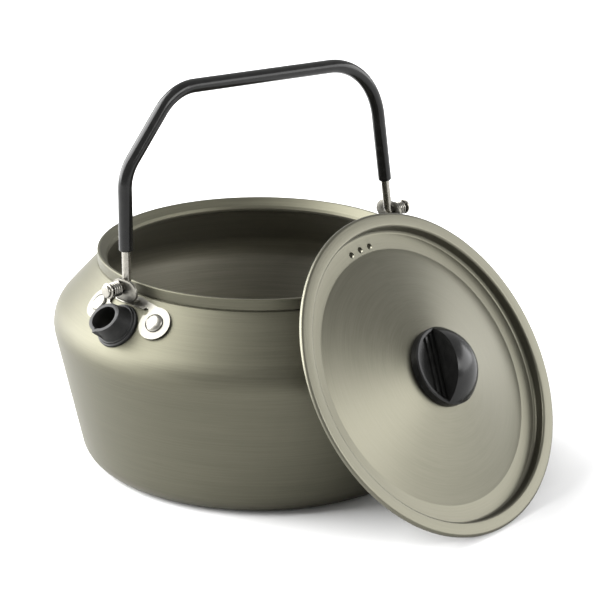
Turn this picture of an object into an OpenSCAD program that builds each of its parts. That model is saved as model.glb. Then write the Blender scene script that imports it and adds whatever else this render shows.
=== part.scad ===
// Camping kettle pot with a wire bail and a lid that leans on its rim.
// Origin at the centre of the base's underside, +Z up, +X towards the spout.

/* [Pot] */
// Height of the pot from its base to the top of the collar
pot_h = 85.2; // [85:0.1:103]
// How far the straight side flares out from the base to the shoulder
side_flare = 12.9; // [6:0.1:20]
// Rounding between base and side
base_corner_r = 9; // [4:0.5:12]
// Radius where the side would meet the shoulder
belly_r = 82.7; // [68:0.1:88]
// Height where the side would meet the shoulder
belly_z = 59.4; // [50:0.1:64]
// Rounding between side and shoulder
belly_corner_r = 13.8; // [8:0.2:16]
// How far the shoulder reaches in from the belly to the collar
shoulder_reach = 18.95; // [18:0.05:21]
// Height of the collar's outer band
collar_h = 4.3; // [3:0.1:6]
// How far the collar's lip reaches in over the mouth
lip_reach = 4; // [3.4:0.1:5]
// Depth of the crease under the collar
crease_d = 1.2; // [0.6:0.1:1.6]
// Wall thickness of the spun pot
pot_wall = 1.2; // [1:0.1:1.6]

/* [Lid] */
// How far the lid's edge stands past the collar
lid_overhang = 0.35; // [0.2:0.05:2]
// Thickness of the lid's sheet
lid_t = 0.9; // [0.7:0.1:1.2]
// Depth of the lid's turned-down edge
lid_edge_h = 1.6; // [1.2:0.1:3]
// Depth of the lid's sunk ring below its flange
lid_sink = 4.8; // [3.5:0.1:7]
// Width of the lid's sunk ring
lid_ring_w = 7.4; // [5:0.1:10]
// Height of the lid's boss above its flange
lid_rise = 4.2; // [3:0.1:8]
// Gap between the lid's plug wall and the collar's lip
lid_fit = 0.45; // [0.3:0.05:0.8]
// Radius of a steam hole
vent_r = 1.25; // [0.8:0.05:1.8]
// Elevation of the leaning lid's face
lean_tilt = 33.3; // [26:0.1:40]
// Direction round the pot in which the lid leans
lean_az = 96.4; // [80:0.1:110]
// Gap between the leaning lid and the collar
lean_gap = 0.3; // [0.2:0.05:0.6]

/* [Knob] */
// Radius of the knob
knob_r = 15.3; // [13:0.1:18]
// Height of the knob above the lid
knob_h = 13; // [11:0.1:16]
// Height of the knob's upright skirt
knob_skirt_h = 3.9; // [3:0.1:5]
// Distance from the knob's axis to the wall of its thumb recess
knob_wall_x = 3.5; // [3.4:0.1:5]
// Direction that the thumb recess faces on the lid
knob_turn = -107.3; // [-180:0.1:180]
// Radius of the knob screw's thread
screw_r = 1.75; // [1.5:0.05:2]

/* [Spout] */
// Distance from the top of the shoulder down to the spout's axis
spout_down = 14; // [13:0.1:16]
// Radius of the spout's bore
spout_bore_r = 4.9; // [4:0.1:5.4]
// Outside radius of the spout's tube at its mouth
spout_tip_r = 6.1; // [5.8:0.1:6.6]
// Outside radius of the spout's tube at its flange
spout_root_r = 7.7; // [7.2:0.1:8.2]
// Radius of the spout's flange
spout_flange_r = 8.9; // [8.6:0.1:9.2]
// Length of the spout's tube past the flange
spout_len = 8.6; // [6:0.1:12]
// How far the tube droops from square to the shoulder
spout_droop = 5; // [0:0.5:8]

/* [Brackets] */
// Sheet thickness of the bail brackets
bracket_t = 1; // [0.8:0.1:1.4]
// Distance from the pot's upper rim down to the bail's pivot
pivot_drop = 1.2; // [-1:0.1:3]
// Radius of the eye round each rivet
eye_r = 6.5; // [5.5:0.1:7]
// Angle between the spout's axis and each rivet
rivet_angle = 12.9; // [12.5:0.1:16]
// Distance from the top of the shoulder down to the rivets
rivet_down = 9.1; // [8.2:0.1:10.5]
// Radius of a rivet's shank
rivet_shank_r = 2; // [1.6:0.1:2.4]
// Radius of a rivet's head
rivet_head_r = 3.6; // [3.2:0.1:4.2]
// Angle that the lugs stand round from the bail's plane
lug_skew = 1.5; // [0:0.1:2]
// Half width of the bracket's upright tab
tab_half_w = 6.8; // [5.5:0.1:8]

/* [Bail] */
// Radius of the bail's wire
wire_r = 1.7; // [1.5:0.05:2]
// Radius of the bail's sleeve
sleeve_r = 2.7; // [2.4:0.05:3.2]
// Gap between the collar and the front leg
front_leg_gap = 1.55; // [1:0.05:4]
// Gap between the collar and the rear leg's foot
rear_leg_gap = 6.4; // [2:0.05:8]
// Height of the grip's front end above the pivot
grip_front_rise = 72.4; // [60:0.1:90]
// Height of the grip's rear end above the pivot
grip_rear_rise = 65.6; // [55:0.1:85]
// Height of the front leg's bend above the pivot
front_bend_rise = 44.1; // [36:0.1:52]
// Height of each sleeve end above the pivot
sleeve_rise = 14; // [8:0.5:20]
// Radial gap between the wire and the bracket's hole
pin_fit = 0.06; // [0.03:0.01:0.1]
// Length of the spring on each pin
spring_len = 5.2; // [4:0.1:7]

/* [Hidden] */
$fn = 96;
ARC_STEPS = 10;         // steps along each rounded corner of a spun outline
SEAT = 0.02;            // gap between faces that seat on each other in one body
LAP = 0.15;             // how far a rod's straights lap over its bends
NECK = 0.05;            // how much thinner than its straights a rod's bends are
FAR = 400;              // longer than anything in the model

// Pot outline
base_r = belly_r - side_flare;
collar_r = belly_r - shoulder_reach;
collar_z = pot_h - collar_h;
shoulder_top = [collar_r + 0.05, collar_z - 0.7];
belly = [belly_r, belly_z];
shoulder_len = norm(shoulder_top - belly);
shoulder_dir = (shoulder_top - belly) / shoulder_len;
shoulder_elev = atan2(-shoulder_dir[0], shoulder_dir[1]);
mouth_r = collar_r - lip_reach;

// Spout
spout_at = shoulder_top - spout_down * shoulder_dir;
hole_r = spout_bore_r + 1.7;
flange_t = 1.8;
inner_flange_t = 1.4;

// Rivets
rivet_at = shoulder_top - rivet_down * shoulder_dir;
rivet_head_h = 1.5;
upset_head_h = 1.0;

// Bail, drawn in the plane through both lugs
pivot_z = pot_h - pivot_drop;
front_leg_x = collar_r + front_leg_gap + wire_r;
rear_foot_x = -(collar_r + rear_leg_gap + wire_r);
front_grip_x = front_leg_x * 0.637;
rear_grip_x = rear_foot_x * 0.852;
foot_bend_r = wire_r + 0.25;
front_bend_r = 16;
front_top_r = 20;
rear_top_r = 30;
washer_t = 0.8;
washer_r = 3.1;
spring_gap = 0.3;       // gap at each end of a spring
spring_wire_r = 0.42;
spring_coil_r = wire_r + 0.35 + spring_wire_r;
spring_turns = 4.5;
pin_reach = bracket_t + 2 * spring_gap + spring_len + washer_t;
pin_head_t = 1.0;

// Brackets
shelf_z = pivot_z - 5.6;
tab_top_z = pivot_z + 3.4;
tab_corner_r = 5;

// Lid
lid_r = collar_r + lid_overhang;
plug_r = mouth_r - lid_fit;
ring_in_r = plug_r - lid_t - lid_ring_w;
boss_r = knob_r - 1.4;
lid_slope = (lid_rise + lid_sink) / (ring_in_r - boss_r);
vent_ring_r = ring_in_r + 2.2;
vent_step = 6;
vent_az = 184;

// Leaning lid: centre from the floor and from the gap to the collar
lean_z = lid_r * cos(lean_tilt) + lid_edge_h * sin(lean_tilt) + SEAT;
lean_face = [cos(lean_tilt), sin(lean_tilt)];
lean_up = [-sin(lean_tilt), cos(lean_tilt)];
lean_m = lean_face + lid_slope * lean_up;
lid_under = lid_slope * ring_in_r - lid_sink - (lid_t + lean_gap) * sqrt(1 + lid_slope * lid_slope);
lean_r = collar_r - (lid_under - (pot_h - lean_z) * lean_m[1]) / lean_m[0];

// Knob
knob_base_z = lid_rise + SEAT;
knob_cap_h = knob_h - knob_skirt_h;
knob_cap_r = knob_r - 0.4;
knob_ball_r = (knob_cap_r * knob_cap_r + knob_cap_h * knob_cap_h) / (2 * knob_cap_h);
rib_w = 0.9;
rib_h = 0.8;
insert_r = screw_r + 1.1;
insert_h = 7;
screw_head_r = 3.9;
screw_head_h = 2.2;
knob_washer_r = 6;
knob_washer_t = 0.8;

// ---------- functions ----------

// Points of the arc that rounds corner b between a and c
function corner(a, b, c, r, steps = ARC_STEPS) =
    let (u = (a - b) / norm(a - b), v = (c - b) / norm(c - b),
         half = acos(max(-1, min(1, u * v))) / 2,
         mid = b + (u + v) / norm(u + v) * r / sin(half),
         p = b + u * r / tan(half) - mid, q = b + v * r / tan(half) - mid,
         a0 = atan2(p[1], p[0]), turn = wrap(atan2(q[1], q[0]) - a0))
    [for (k = [0:steps]) mid + r * [cos(a0 + turn * k / steps), sin(a0 + turn * k / steps)]];

// Angle brought into -180 to 180 degrees
function wrap(t) = t > 180 ? t - 360 : t < -180 ? t + 360 : t;

// Left-hand normal of a step
function left(d) = [-d[1], d[0]] / norm(d);

// Line pts moved sideways by t, to its left
function beside(pts, t) =
    [for (i = [0:len(pts) - 1])
        let (a = left(i > 0 ? pts[i] - pts[i - 1] : pts[1] - pts[0]),
             b = left(i < len(pts) - 1 ? pts[i + 1] - pts[i] : pts[i] - pts[i - 1]))
        pts[i] + (a + b) * t / (1 + a * b)];

function reversed(pts) = [for (i = [len(pts) - 1:-1:0]) pts[i]];

// ---------- shared shapes ----------

// Moves to the shoulder at a place of the outline, +Z square to the shoulder
module on_shoulder(place, az = 0, droop = 0)
    rotate([0, 0, lug_skew + az]) translate([place[0], 0, place[1]])
        rotate([0, 90 - shoulder_elev + droop, 0]) children();

// Moves to the leaning lid, +Z out of its face
module on_lid()
    rotate([0, 0, lean_az]) translate([lean_r, 0, lean_z])
        rotate([0, 90 - lean_tilt, 0]) children();

// Everything below the pot's outer surface, grown by d
module pot_bulk(d = 0)
    rotate_extrude($fn = 160)
        polygon(concat([[0, 0]], beside(pot_outside(), -d), [[0, pot_h]]));

// Sheet of thickness t that lies on the shoulder
module shoulder_sheet(t) {
    low = shoulder_top - 20 * shoulder_dir;
    up = -left(shoulder_dir);
    rotate_extrude($fn = 160) polygon([
        low + SEAT * up, low + (SEAT + t) * up, shoulder_top + (SEAT + t) * up, shoulder_top + SEAT * up]);
}

function pot_outside() = concat(
    corner([0, 0], [base_r, 0], belly, base_corner_r),
    corner([base_r, 0], belly, shoulder_top, belly_corner_r),
    [shoulder_top]);

// Bent rod through points pts, with a bend radius for each inner point.
// Each straight laps over its bends by a hair, so that they join cleanly.
module rod(pts, bends, r) {
    for (i = [0:len(pts) - 2]) {
        step = pts[i + 1] - pts[i];
        lead = i > 0 ? tangent(pts, i, bends[i - 1]) - LAP : 0;
        tail = i < len(pts) - 2 ? tangent(pts, i + 1, bends[i]) - LAP : 0;
        translate(pts[i] + step / norm(step) * lead)
            rotate([0, 0, atan2(step[1], step[0])]) rotate([0, 90, 0])
                cylinder(h = norm(step) - lead - tail, r = r, $fn = 48);
    }
    for (i = [1:len(pts) - 2]) {
        a = pts[i] - pts[i - 1];
        b = pts[i + 1] - pts[i];
        turn = wrap(atan2(b[1], b[0]) - atan2(a[1], a[0]));
        side = turn > 0 ? 1 : -1;
        start = pts[i] - a / norm(a) * tangent(pts, i, bends[i - 1]);
        mid = start + left(a) * side * bends[i - 1];
        from = atan2(start[1] - mid[1], start[0] - mid[0]) + min(0, turn);
        translate(mid) rotate([0, 0, from])
            rotate_extrude(angle = abs(turn)) translate([bends[i - 1], 0]) circle(r - NECK, $fn = 48);
    }
}

// Length that a bend takes off the straight on each side of point i
function tangent(pts, i, r) =
    let (a = pts[i] - pts[i - 1], b = pts[i + 1] - pts[i])
    r * tan(abs(wrap(atan2(b[1], b[0]) - atan2(a[1], a[0]))) / 2);

// ---------- pot ----------

module pot_body() color([0.36, 0.35, 0.32]) {
    outside = pot_outside();
    inside = beside(outside, pot_wall);
    lip_z = pot_h - lip_reach;
    difference() {
        rotate_extrude($fn = 160) polygon(concat(
            [[0, 0]], outside,
            [[shoulder_top[0] - crease_d, collar_z], [collar_r, collar_z],
             [collar_r, pot_h - 0.5], [collar_r - 0.5, pot_h], [collar_r - 1.1, pot_h],
             [collar_r - 2.2, pot_h - 1.2], [mouth_r + 0.5, lip_z + 1.2], [mouth_r, lip_z],
             [mouth_r + 0.3, lip_z - 0.8]],
            [for (i = [len(inside) - 1:-1:0]) if (inside[i][1] < lip_z - 1) inside[i]],
            [[0, pot_wall]]));
        on_shoulder(spout_at) cylinder(h = 4 * pot_wall, r = hole_r, center = true);
        for (lug = [0, 180], side = [-1, 1])
            on_shoulder(rivet_at, lug + side * rivet_angle)
                cylinder(h = 4 * pot_wall, r = rivet_shank_r, center = true);
    }
}

// ---------- spout ----------

module spout_nozzle() color([0.05, 0.05, 0.05]) {
    lip = spout_len + 1.6;
    difference() {
        union() {
            difference() {
                on_shoulder(spout_at) {
                    translate([0, 0, -0.8]) cylinder(h = 0.8 + 0.9, r = spout_flange_r);
                    cylinder(h = flange_t, r = spout_flange_r - 0.7);
                }
                pot_bulk(SEAT);
            }
            on_shoulder(spout_at) {
                translate([0, 0, -pot_wall - inner_flange_t])
                    cylinder(h = pot_wall + inner_flange_t + 0.6, r = hole_r - SEAT);
                translate([0, 0, -pot_wall - inner_flange_t - 0.5])
                    cylinder(h = inner_flange_t, r = spout_flange_r - 0.4);
            }
            on_shoulder(spout_at, 0, spout_droop) difference() {
                translate([0, 0, 0.9]) union() {
                    cylinder(h = lip, r1 = spout_root_r, r2 = spout_tip_r);
                    translate([spout_tip_r - 0.9, 0, 0]) rotate([0, 0, 45])
                        translate([-1.2, -1.2, 0]) cube([2.4, 2.4, lip]);
                }
                // Slanted mouth, longest at the pouring lip
                translate([0, 0, 0.9 + spout_len - 0.6]) rotate([0, -14, 0])
                    translate([-FAR / 2, -FAR / 2, 0]) cube(FAR);
            }
        }
        on_shoulder(spout_at, 0, spout_droop) {
            translate([0, 0, -8]) cylinder(h = 30, r = spout_bore_r);
            translate([spout_bore_r - 0.7, 0, spout_len - 4]) rotate([0, 0, 45])
                translate([-0.9, -0.9, 0]) cube([1.8, 1.8, 10]);
        }
    }
}

// ---------- brackets ----------

// One bracket at the front lug, for a leg whose centre stands at leg_x
module bracket(leg_x) {
    tab_x = leg_x + foot_bend_r;
    // Place of a rivet in the plane that is square to the spout
    eye_v = rivet_at[0] * sin(rivet_angle);
    eye_u = -([rivet_at[0] * cos(rivet_angle), rivet_at[1]] - spout_at) * shoulder_dir;
    crown_u = -(spout_down - 0.6);
    // Sheet on the shoulder: a yoke over the spout with an eye at each end
    difference() {
        intersection() {
            shoulder_sheet(bracket_t);
            union() {
                for (s = [-1, 1]) on_shoulder(rivet_at, s * rivet_angle)
                    cylinder(h = 8, r = eye_r, center = true);
                on_shoulder(spout_at) linear_extrude(height = 20, center = true)
                    for (s = [0, 1]) mirror([0, s]) polygon([
                        [crown_u, -1], [crown_u, 5], [eye_u - eye_r * 0.9, eye_v + eye_r * 0.36],
                        [eye_u + eye_r * 0.5, eye_v - eye_r * 0.7], [-9.2, 8.4], [-9.2, -1]]);
            }
        }
        on_shoulder(spout_at) cylinder(h = 20, r = spout_flange_r + 0.6, center = true);
        for (s = [-1, 1]) {
            on_shoulder(spout_at) translate([-8.4, s * 9.6, 0]) cylinder(h = 20, r = 1.5, center = true);
            on_shoulder(rivet_at, s * rivet_angle) cylinder(h = 20, r = rivet_shank_r, center = true);
        }
    }
    difference() {
        rotate([0, 0, lug_skew]) {
            // Shelf out over the spout's flange
            translate([shoulder_top[0] - 1.5, -4, shelf_z])
                cube([tab_x + bracket_t - shoulder_top[0] + 1.5, 8, bracket_t]);
            // Upright tab
            translate([tab_x, 0, 0]) rotate([90, 0, 90]) linear_extrude(height = bracket_t) {
                for (s = [-1, 1]) translate([s * (tab_half_w - tab_corner_r), tab_top_z - tab_corner_r])
                    circle(tab_corner_r);
                polygon([[-4, shelf_z], [4, shelf_z], [tab_half_w, shelf_z + 3.4],
                         [tab_half_w, tab_top_z - tab_corner_r], [tab_half_w - tab_corner_r, tab_top_z],
                         [tab_corner_r - tab_half_w, tab_top_z], [-tab_half_w, tab_top_z - tab_corner_r],
                         [-tab_half_w, shelf_z + 3.4]]);
            }
        }
        pot_bulk(SEAT);
        // Pivot's hole
        translate([tab_x - 5, 0, pivot_z]) rotate([0, 90, 0]) cylinder(h = 10, r = wire_r + pin_fit);
    }
}

module front_bracket() color([0.82, 0.81, 0.78]) bracket(front_leg_x);
module rear_bracket() color([0.82, 0.81, 0.78]) rotate([0, 0, 180]) bracket(-rear_foot_x);

// ---------- rivets ----------

module rivet(az) color([0.85, 0.84, 0.81]) on_shoulder(rivet_at, az) {
    head_z = bracket_t + 3 * SEAT;
    ball_r = (rivet_head_r * rivet_head_r + rivet_head_h * rivet_head_h) / (2 * rivet_head_h);
    intersection() {
        translate([0, 0, head_z + rivet_head_h - ball_r]) sphere(ball_r);
        translate([0, 0, head_z]) cylinder(h = rivet_head_h, r = rivet_head_r);
    }
    translate([0, 0, -pot_wall - 0.5]) cylinder(h = pot_wall + 0.6 + head_z, r = rivet_shank_r - SEAT);
    translate([0, 0, -pot_wall - upset_head_h - 0.4])
        cylinder(h = upset_head_h, r1 = rivet_head_r - 1.1, r2 = rivet_head_r - 0.3);
}

module front_rivet_left() rivet(rivet_angle);
module front_rivet_right() rivet(-rivet_angle);
module rear_rivet_left() rivet(180 + rivet_angle);
module rear_rivet_right() rivet(180 - rivet_angle);

// ---------- bail ----------

// Bail's route in its plane, from the front pin's end to the rear pin's end
front_pin_x = front_leg_x + foot_bend_r + pin_reach;
rear_pin_x = rear_foot_x - foot_bend_r - pin_reach;
bail_pts = [[front_pin_x + pin_head_t / 2, pivot_z], [front_leg_x, pivot_z],
            [front_leg_x, pivot_z + front_bend_rise], [front_grip_x, pivot_z + grip_front_rise],
            [rear_grip_x, pivot_z + grip_rear_rise],
            [rear_foot_x, pivot_z], [rear_pin_x - pin_head_t / 2, pivot_z]];
bail_bends = [foot_bend_r, front_bend_r, front_top_r, rear_top_r, foot_bend_r];
rear_leg_lean = (rear_grip_x - rear_foot_x) / grip_rear_rise;
sleeve_pts = [[front_leg_x, pivot_z + sleeve_rise], bail_pts[2], bail_pts[3], bail_pts[4],
              [rear_foot_x + rear_leg_lean * sleeve_rise, pivot_z + sleeve_rise]];
sleeve_bends = [front_bend_r, front_top_r, rear_top_r];

module bail_wire() color([0.78, 0.77, 0.73]) {
    rotate([90, 0, 0]) rod(bail_pts, bail_bends, wire_r);
    for (x = [front_pin_x, rear_pin_x - pin_head_t])
        translate([x, 0, pivot_z]) rotate([0, 90, 0]) cylinder(h = pin_head_t, r = wire_r + 0.8);
}

module bail_sleeve() color([0.06, 0.06, 0.06]) rotate([90, 0, 0]) difference() {
    rod(sleeve_pts, sleeve_bends, sleeve_r);
    rod(concat([sleeve_pts[0] - [0, 1]], [for (i = [1:3]) sleeve_pts[i]], [sleeve_pts[4] - [rear_leg_lean, 1]]),
        sleeve_bends, wire_r + SEAT);
}

// Coil spring along +X from x, swept as rings round the pin
module pin_spring(x) color([0.7, 0.69, 0.66]) {
    sides = 8;
    steps = 14 * spring_turns;
    pitch = (spring_len - 2 * spring_wire_r) / spring_turns;
    ring = [for (i = [0:steps], k = [0:sides - 1])
        let (t = 360 * spring_turns * i / steps, a = 360 * k / sides,
             r = spring_coil_r + spring_wire_r * cos(a))
        [x + spring_wire_r * (1 + sin(a)) + pitch * t / 360, r * cos(t), pivot_z + r * sin(t)]];
    polyhedron(points = ring, faces = concat(
        [for (i = [0:steps - 1], k = [0:sides - 1])
            let (n = (k + 1) % sides) [i * sides + k, (i + 1) * sides + k, (i + 1) * sides + n, i * sides + n]],
        [[for (k = [0:sides - 1]) k]], [[for (k = [sides - 1:-1:0]) steps * sides + k]]));
}

front_spring_x = front_leg_x + foot_bend_r + bracket_t + spring_gap;
rear_spring_x = rear_foot_x - foot_bend_r - bracket_t - spring_gap - spring_len;
module front_spring() pin_spring(front_spring_x);
module rear_spring() pin_spring(rear_spring_x);

module pin_washer(x) color([0.84, 0.83, 0.8]) translate([x, 0, pivot_z]) rotate([0, 90, 0]) difference() {
    cylinder(h = washer_t - SEAT, r = washer_r);
    translate([0, 0, -1]) cylinder(h = washer_t + 2, r = wire_r + SEAT);
}
module front_pin_washer() pin_washer(front_pin_x - washer_t);
module rear_pin_washer() pin_washer(rear_pin_x + SEAT);

// ---------- lid ----------

module lid_plate() color([0.4, 0.39, 0.36]) on_lid() {
    top = concat(
        [[lid_r, -lid_edge_h]], corner([lid_r, -lid_edge_h], [lid_r, 0], [plug_r, 0], 1.1, 5),
        corner([lid_r, 0], [plug_r - lid_t, 0], [plug_r - lid_t, -lid_sink], 1.4, 5),
        corner([plug_r - lid_t, 0], [plug_r - lid_t, -lid_sink], [ring_in_r, -lid_sink], 1.5, 5),
        [[ring_in_r, -lid_sink], [boss_r, lid_rise], [0, lid_rise]]);
    difference() {
        rotate_extrude($fn = 160) polygon(concat(top, reversed(beside(top, lid_t))));
        for (k = [-1:1]) rotate([0, 0, vent_az + k * vent_step]) translate([vent_ring_r, 0, -lid_sink])
            cylinder(h = 4 * lid_t, r = vent_r, center = true);
        cylinder(h = FAR, r = screw_r + 0.15, center = true);
    }
}

// Moves to the top of the lid's boss, +X towards the thumb recess
module on_boss() on_lid() rotate([0, 0, knob_turn]) translate([0, 0, knob_base_z]) children();

module lid_knob() color([0.04, 0.04, 0.04]) on_boss() difference() {
    union() {
        difference() {
            union() {
                cylinder(h = knob_skirt_h - 0.4, r = knob_r);
                translate([0, 0, knob_skirt_h - 0.4]) cylinder(h = 0.4, r1 = knob_r, r2 = knob_cap_r);
                intersection() {
                    translate([0, 0, knob_h - knob_ball_r]) sphere(knob_ball_r);
                    translate([0, 0, knob_skirt_h]) cylinder(h = knob_cap_h, r = knob_cap_r);
                }
            }
            // Thumb recess: a flat ledge with a straight wall behind it
            translate([knob_wall_x, -FAR / 2, knob_skirt_h]) cube([FAR, FAR, FAR]);
            intersection() {
                translate([knob_wall_x, -FAR / 2, knob_skirt_h - 0.7]) cube([FAR, FAR, FAR]);
                cylinder(h = FAR, r = knob_cap_r - 0.9);
            }
        }
        // Grip ribs along the foot of the wall
        intersection() {
            for (x = [knob_wall_x + 1.6, knob_wall_x + 4.2])
                translate([x, -FAR / 2, knob_skirt_h - 1]) cube([rib_w, FAR, 1 + rib_h]);
            cylinder(h = FAR, r = knob_cap_r - 1.4);
        }
    }
    translate([0, 0, -1]) cylinder(h = 1 + insert_h, r = insert_r + SEAT);
}

module knob_insert() color([0.72, 0.6, 0.35]) on_boss() difference() {
    translate([0, 0, SEAT]) cylinder(h = insert_h - 2 * SEAT, r = insert_r);
    translate([0, 0, -1]) cylinder(h = insert_h - 0.4, r = screw_r + SEAT);
}

module knob_screw() color([0.8, 0.79, 0.76]) on_lid() {
    head_z = lid_rise - lid_t - knob_washer_t - 2 * SEAT;
    translate([0, 0, head_z - 0.1]) cylinder(h = lid_rise - head_z + insert_h - 1.7, r = screw_r);
    difference() {
        translate([0, 0, head_z - screw_head_h])
            cylinder(h = screw_head_h, r1 = screw_head_r - 0.8, r2 = screw_head_r);
        for (t = [0, 90]) rotate([0, 0, t]) translate([-2.2, -0.4, head_z - screw_head_h - 1])
            cube([4.4, 0.8, 2.2]);
    }
}

module knob_washer() color([0.8, 0.79, 0.76]) on_lid() difference() {
    translate([0, 0, lid_rise - lid_t - knob_washer_t - SEAT]) cylinder(h = knob_washer_t, r = knob_washer_r);
    cylinder(h = FAR, r = screw_r + 0.15, center = true);
}

// ---------- nodes ----------

pot_body();
spout_nozzle();
front_bracket();
rear_bracket();
front_rivet_left();
front_rivet_right();
rear_rivet_left();
rear_rivet_right();
bail_wire();
bail_sleeve();
front_spring();
rear_spring();
front_pin_washer();
rear_pin_washer();
lid_plate();
lid_knob();
knob_insert();
knob_screw();
knob_washer();
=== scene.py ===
"""Camping kettle pot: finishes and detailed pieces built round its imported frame."""

import logging
import math
from dataclasses import dataclass
from enum import Enum
from typing import Any, Sequence

import bpy
from mathutils import Matrix, Vector


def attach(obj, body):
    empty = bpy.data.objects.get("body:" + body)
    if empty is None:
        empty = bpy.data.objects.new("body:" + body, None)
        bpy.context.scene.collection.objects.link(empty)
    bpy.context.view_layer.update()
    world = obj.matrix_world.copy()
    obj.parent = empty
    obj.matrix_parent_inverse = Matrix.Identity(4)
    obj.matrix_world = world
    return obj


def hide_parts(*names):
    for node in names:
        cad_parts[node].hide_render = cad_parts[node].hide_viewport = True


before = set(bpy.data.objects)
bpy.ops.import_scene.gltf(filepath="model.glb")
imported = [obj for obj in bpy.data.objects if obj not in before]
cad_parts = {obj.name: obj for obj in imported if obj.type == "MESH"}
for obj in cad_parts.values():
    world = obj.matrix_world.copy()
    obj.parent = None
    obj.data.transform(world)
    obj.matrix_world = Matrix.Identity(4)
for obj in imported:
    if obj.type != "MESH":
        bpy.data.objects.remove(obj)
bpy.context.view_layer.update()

log = logging.getLogger("kettle")
MM = 0.001
MERGE = 2e-6
Piece = bpy.types.Object
Material = bpy.types.Material
Point = tuple[float, float]
Triple = tuple[float, float, float]


# ---------- plane geometry, in millimetres ----------


def arc_corner(a: Point, b: Point, c: Point, radius: float, steps: int = 10) -> list[Point]:
    """Rounds the corner b of the path a, b, c.

    Args:
        a: Point before the corner.
        b: The corner.
        c: Point after the corner.
        radius: Radius of the rounding.
        steps: Number of arc steps.

    Returns:
        Points along the arc, from the side of a to the side of c.
    """
    pa, pb, pc = Vector(a), Vector(b), Vector(c)
    u, v = (pa - pb).normalized(), (pc - pb).normalized()
    half = math.acos(max(-1.0, min(1.0, u.dot(v)))) / 2
    mid = pb + (u + v).normalized() * radius / math.sin(half)
    p, q = pb + u * radius / math.tan(half) - mid, pb + v * radius / math.tan(half) - mid
    start = math.atan2(p.y, p.x)
    turn = (math.atan2(q.y, q.x) - start + math.pi) % math.tau - math.pi
    return [
        (mid.x + radius * math.cos(start + turn * k / steps), mid.y + radius * math.sin(start + turn * k / steps))
        for k in range(steps + 1)
    ]


def rounded(path: Sequence[Triple], steps: int = 8, closed: bool = True) -> list[Point]:
    """Rounds every corner of an outline.

    Args:
        path: Corners as (x, y, radius); radius 0 keeps a corner sharp.
        steps: Arc steps of each rounded corner.
        closed: Whether the last corner joins the first.

    Returns:
        The outline's points in order.
    """
    out: list[Point] = []
    count = len(path)
    for i, (x, y, radius) in enumerate(path):
        if radius <= 0 or (not closed and i in (0, count - 1)):
            out.append((x, y))
            continue
        before, after = path[i - 1], path[(i + 1) % count]
        out += arc_corner(before[:2], (x, y), after[:2], radius, steps)
    return out


def divided(points: Sequence[Point], longest: float) -> list[Point]:
    """Adds points to a path so that no step is longer than a length.

    Args:
        points: The path.
        longest: Longest step allowed.

    Returns:
        The denser path.
    """
    out = [points[0]]
    for a, b in zip(points, points[1:]):
        parts = max(1, math.ceil(math.dist(a, b) / longest))
        out += [(a[0] + (b[0] - a[0]) * k / parts, a[1] + (b[1] - a[1]) * k / parts) for k in range(1, parts + 1)]
    return out


def shift(x: float, y: float, z: float) -> Matrix:
    """Move by a distance in millimetres."""
    return Matrix.Translation((x * MM, y * MM, z * MM))


def turned(degrees: float, axis: str) -> Matrix:
    """Turn about an axis through the origin."""
    return Matrix.Rotation(math.radians(degrees), 4, axis)


# ---------- the workbench: modelling steps ----------


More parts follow.
